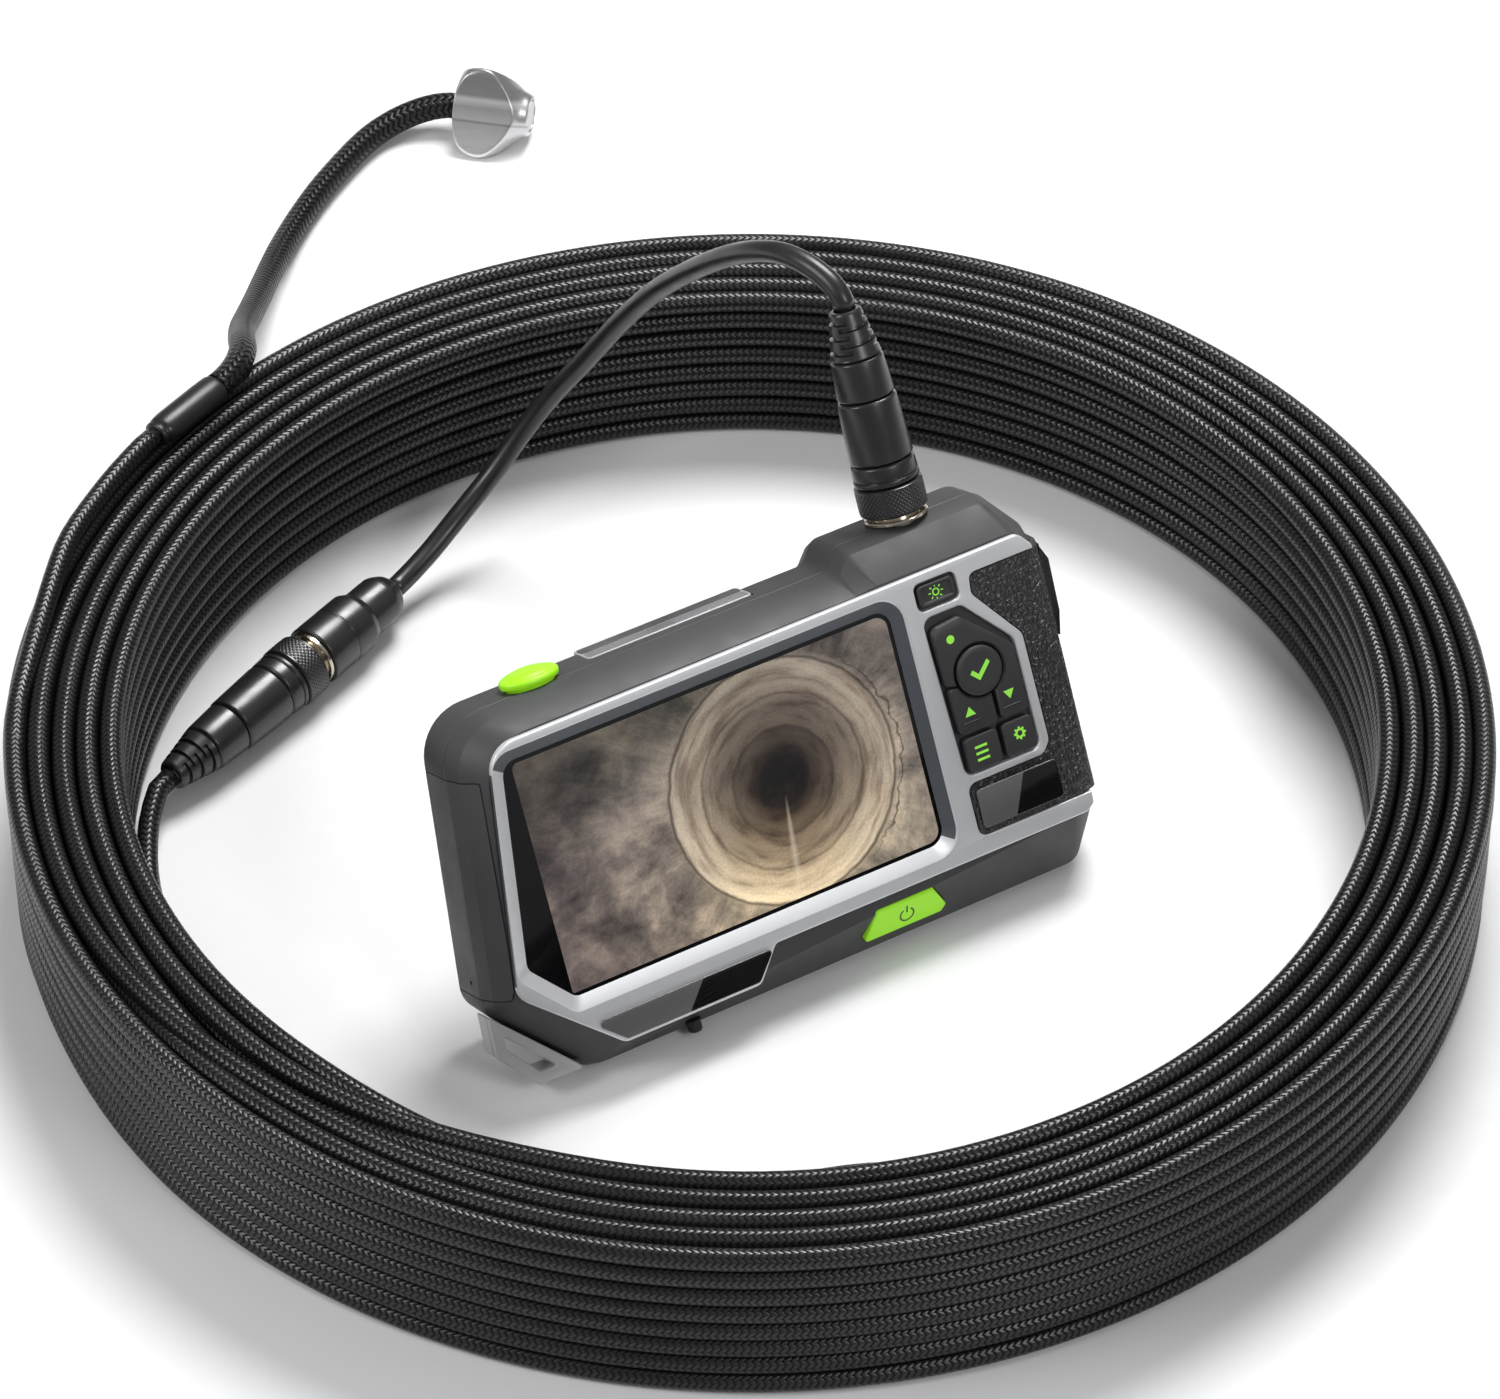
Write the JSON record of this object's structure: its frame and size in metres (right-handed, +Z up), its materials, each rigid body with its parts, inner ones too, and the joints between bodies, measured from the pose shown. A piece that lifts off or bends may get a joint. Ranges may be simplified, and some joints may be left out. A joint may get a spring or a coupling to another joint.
{
  "type": "inspection camera",
  "caption": "Pipe inspection camera: leaning screen handset with lime buttons, screw plug and lead, inline connector, big coil of braided push cable, gooseneck and steel camera head",
  "frame": {"origin": "bottom centre of the standing handset's box, on the floor", "axes": "+X is the handset's width, to the right as its screen is read; +Y runs back from the screen; +Z is up"},
  "size_m": [0.425, 0.5571, 0.1657],
  "materials": {
    "case": "soft-touch charcoal",
    "guard": "fine matte rubber",
    "silver": "satin silver",
    "glass": "polished",
    "dark": "moulded",
    "badge": "two-tone print, blank",
    "leather": "pebbled",
    "key": "moulded silicone",
    "rubber": "matte",
    "lime": "satin lime",
    "cover": "glossy",
    "light_metal": "bead blasted",
    "steel": "brushed stainless",
    "brass": "machined",
    "board": "solder mask",
    "cell": "shrink wrap",
    "connector": "satin black",
    "nickel": "nickel plated",
    "lead": "smooth satin",
    "braid": "braided jacket",
    "led": "translucent white"
  },
  "bodies": {
    "handset_body": {"front_shell": "case", "rear_shell": "case", "side_bumper": "guard", "bezel": "silver", "screen_glass": "glass", "lens_window": "glass", "lcd_panel": "dark", "port_block": "dark", "head_barrel": "dark", "camera_module": "dark", "front_badge": "badge", "side_badge": "badge", "grip": "leather", "key_mat": "rubber", "bottom_foot": "rubber", "strap_lug": "light_metal", "kickstand_pin": "steel", "case_screw_1": "steel", "case_screw_2": "steel", "case_screw_3": "steel", "case_screw_4": "steel", "head_skid": "steel", "tripod_insert": "brass", "main_board": "board", "battery_pack": "cell", "plug_collar": "connector", "plug_body": "connector", "plug_barrel": "connector", "plug_boot": "connector", "joint_cone": "connector", "joint_socket": "connector", "joint_collar": "connector", "joint_body": "connector", "joint_barrel": "connector", "joint_boot": "connector", "panel_socket": "nickel", "joint_thread": "nickel", "lead": "lead", "sleeve": "lead", "cable_coil": "braid", "cable_tail": "braid", "cable_exit": "braid", "gooseneck": "braid", "led_ring": "led"},
    "light_key": {"light_key": "key"},
    "rocker_key": {"rocker_key": "key"},
    "ok_key": {"ok_key": "key"},
    "up_key": {"up_key": "key"},
    "menu_key": {"menu_key": "key"},
    "settings_key": {"settings_key": "key"},
    "shutter_button": {"shutter_button": "lime"},
    "power_button": {"power_button": "lime"},
    "port_cover": {"port_cover": "cover"},
    "kickstand": {"kickstand": "guard"},
    "plug_nut": {"plug_nut": "connector"},
    "joint_nut": {"joint_nut": "connector"}
  },
  "joints": [
    {"name": "light_key_press", "type": "slide", "parent": "handset_body", "child": "light_key", "axis": [0, 0.8829, -0.4695], "range_m": [0, 0.0006], "stiffness_N_per_m": 900, "springref_m": -0.0008},
    {"name": "ok_key_press", "type": "slide", "parent": "handset_body", "child": "ok_key", "axis": [0, 0.8829, -0.4695], "range_m": [0, 0.0006], "stiffness_N_per_m": 900, "springref_m": -0.0008},
    {"name": "up_key_press", "type": "slide", "parent": "handset_body", "child": "up_key", "axis": [0, 0.8829, -0.4695], "range_m": [0, 0.0006], "stiffness_N_per_m": 900, "springref_m": -0.0008},
    {"name": "menu_key_press", "type": "slide", "parent": "handset_body", "child": "menu_key", "axis": [0, 0.8829, -0.4695], "range_m": [0, 0.0006], "stiffness_N_per_m": 900, "springref_m": -0.0008},
    {"name": "settings_key_press", "type": "slide", "parent": "handset_body", "child": "settings_key", "axis": [0, 0.8829, -0.4695], "range_m": [0, 0.0006], "stiffness_N_per_m": 900, "springref_m": -0.0008},
    {"name": "rocker_key_rock", "type": "hinge", "parent": "handset_body", "child": "rocker_key", "pos_m": [0.0661, -0.0134, 0.07048], "axis": [0.8498, 0.2473, 0.4655], "range_deg": [-2.2, 2.2], "stiffness_Nm_per_rad": 0.3},
    {"name": "shutter_button_press", "type": "slide", "parent": "handset_body", "child": "shutter_button", "axis": [0, -0.4695, -0.8829], "range_m": [0, 0.0006], "stiffness_N_per_m": 700, "springref_m": -0.001},
    {"name": "power_button_press", "type": "slide", "parent": "handset_body", "child": "power_button", "axis": [0, 0.9997, -0.0224], "range_m": [0, 0.0008], "stiffness_N_per_m": 800, "springref_m": -0.0009},
    {"name": "port_cover_hinge", "type": "hinge", "parent": "handset_body", "child": "port_cover", "pos_m": [-0.0124, 0.03206, 0.08889], "axis": [-1, 0, 0], "range_deg": [0, 110]},
    {"name": "kickstand_hinge", "type": "hinge", "parent": "handset_body", "child": "kickstand", "pos_m": [-0.0009, 0.02022, 0.06065], "axis": [1, 0, 0], "range_deg": [-48, 0]},
    {"name": "plug_nut_turn", "type": "hinge", "parent": "handset_body", "child": "plug_nut", "pos_m": [0.062, 0.02709, 0.10637], "axis": [0, 0.4695, 0.8829], "continuous": true},
    {"name": "joint_nut_turn", "type": "hinge", "parent": "handset_body", "child": "joint_nut", "pos_m": [-0.07296, 0.1412, 0.0101], "axis": [-0.9259, -0.3778, 0], "continuous": true}
  ]
}
